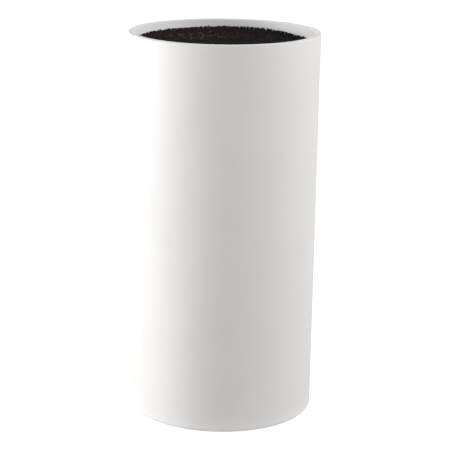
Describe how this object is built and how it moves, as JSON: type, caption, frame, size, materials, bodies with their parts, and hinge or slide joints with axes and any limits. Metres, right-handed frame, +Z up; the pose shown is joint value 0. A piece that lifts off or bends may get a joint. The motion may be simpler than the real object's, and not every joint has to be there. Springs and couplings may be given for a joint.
{
  "type": "knife block",
  "caption": "Free-standing round knife block: tapered white moulded shell, open at the top, with a lift-out insert packed with flexible black bristles.",
  "frame": {"origin": "centre of the footprint, on the plane the foot pads stand on", "axes": "+Z up along the block's axis to the rim, -Y towards the front (the block is round, so the front is only the side with the pads at 45 degrees to it)"},
  "size_m": [0.11, 0.11, 0.225],
  "materials": {
    "shell_white": "satin",
    "pad_rubber": "matte",
    "plate_black": "satin",
    "bristle_black": "satin"
  },
  "bodies": {
    "housing": {"outer_shell": "shell_white", "foot_pad_1": "pad_rubber", "foot_pad_2": "pad_rubber", "foot_pad_3": "pad_rubber", "foot_pad_4": "pad_rubber"},
    "insert": {"insert_plate": "plate_black", "tuft_centre": "bristle_black", "tuft_inner_1": "bristle_black", "tuft_inner_2": "bristle_black", "tuft_inner_3": "bristle_black", "tuft_inner_4": "bristle_black", "tuft_inner_5": "bristle_black", "tuft_inner_6": "bristle_black", "tuft_middle_1": "bristle_black", "tuft_middle_2": "bristle_black", "tuft_middle_3": "bristle_black", "tuft_middle_4": "bristle_black", "tuft_middle_5": "bristle_black", "tuft_middle_6": "bristle_black", "tuft_middle_7": "bristle_black", "tuft_middle_8": "bristle_black", "tuft_middle_9": "bristle_black", "tuft_middle_10": "bristle_black", "tuft_middle_11": "bristle_black", "tuft_middle_12": "bristle_black", "tuft_outer_1": "bristle_black", "tuft_outer_2": "bristle_black", "tuft_outer_3": "bristle_black", "tuft_outer_4": "bristle_black", "tuft_outer_5": "bristle_black", "tuft_outer_6": "bristle_black", "tuft_outer_7": "bristle_black", "tuft_outer_8": "bristle_black", "tuft_outer_9": "bristle_black", "tuft_outer_10": "bristle_black", "tuft_outer_11": "bristle_black", "tuft_outer_12": "bristle_black", "tuft_outer_13": "bristle_black", "tuft_outer_14": "bristle_black", "tuft_outer_15": "bristle_black", "tuft_outer_16": "bristle_black", "tuft_outer_17": "bristle_black", "tuft_outer_18": "bristle_black"}
  },
  "joints": [
    {"name": "insert_lift", "type": "slide", "parent": "housing", "child": "insert", "axis": [0, 0, 1], "range_m": [0, 0.222]}
  ]
}
